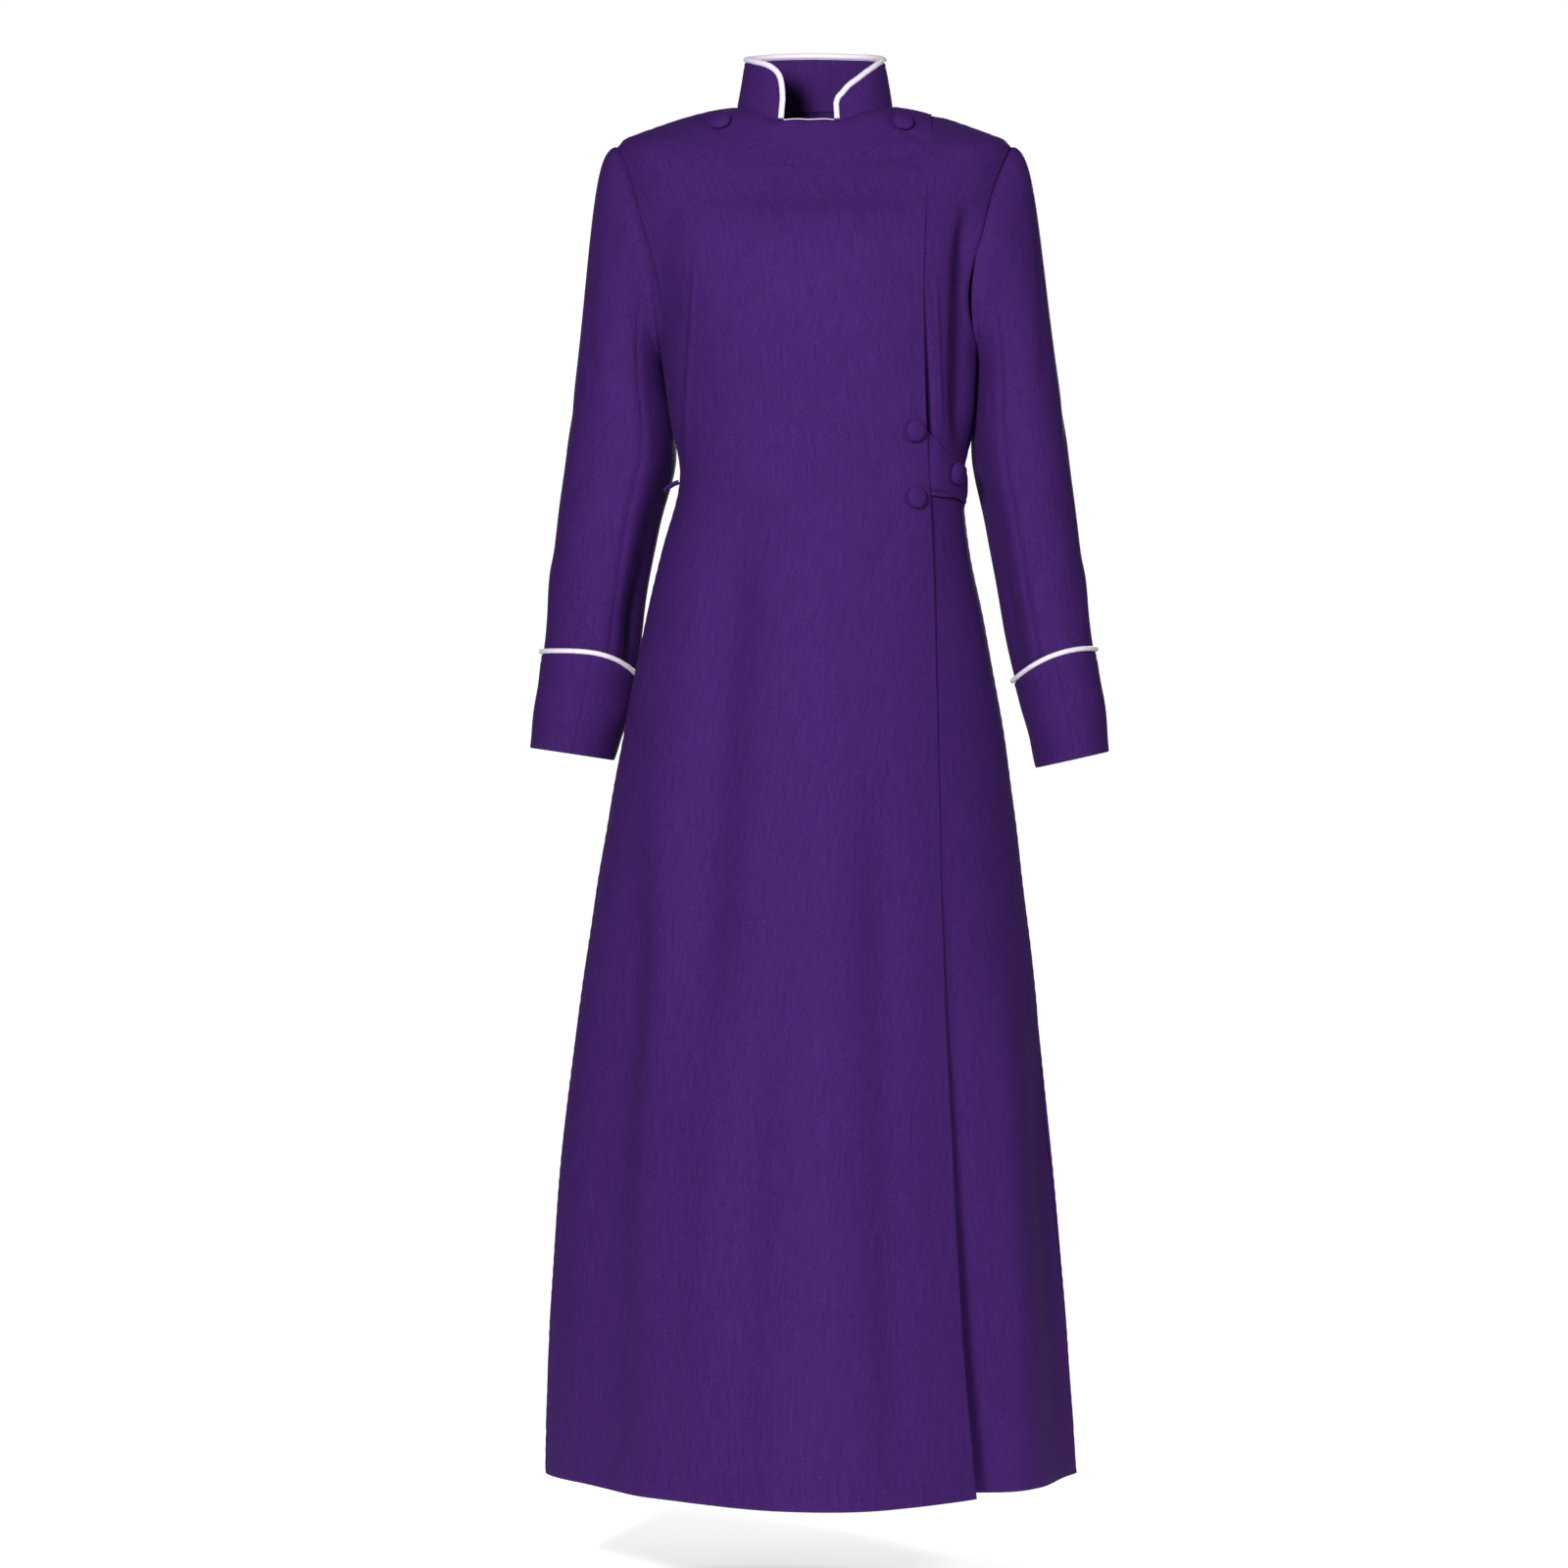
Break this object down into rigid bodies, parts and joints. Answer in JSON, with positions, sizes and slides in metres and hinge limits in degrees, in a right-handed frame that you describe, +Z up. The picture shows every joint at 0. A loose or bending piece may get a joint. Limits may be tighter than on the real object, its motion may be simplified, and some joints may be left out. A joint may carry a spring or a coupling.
{
  "type": "cassock",
  "caption": "Full-length purple cassock with an overlapped front, standing collar and turned-back cuffs with white piping, filled out as worn.",
  "frame": {"origin": "between the wearer's shoulders, at the height where the shoulder line meets the neck", "axes": "+Z up, -Y towards the garment's front, +X to the right as a viewer sees the front"},
  "size_m": [0.5951, 0.4825, 1.4566],
  "materials": {
    "cloth": "fine matt suiting with a slight sheen",
    "buttons": "covered in the same suiting, stretched smooth",
    "piping": "white bias-cut cotton sateen"
  },
  "bodies": {
    "root": {"front_overlap": "cloth", "front_underlap": "cloth", "back_left": "cloth", "back_right": "cloth", "sleeve_left_upper": "cloth", "sleeve_left_under": "cloth", "sleeve_right_upper": "cloth", "sleeve_right_under": "cloth", "cuff_left": "cloth", "cuff_right": "cloth", "collar": "cloth", "waist_tab": "cloth", "half_belt": "cloth", "belt_loop": "cloth", "shoulder_button_left": "buttons", "shoulder_button_right": "buttons", "waist_button_upper": "buttons", "waist_button_lower": "buttons", "side_button": "buttons", "cuff_piping_left": "piping", "cuff_piping_right": "piping", "collar_piping": "piping", "neck_edging": "piping"}
  },
  "joints": []
}
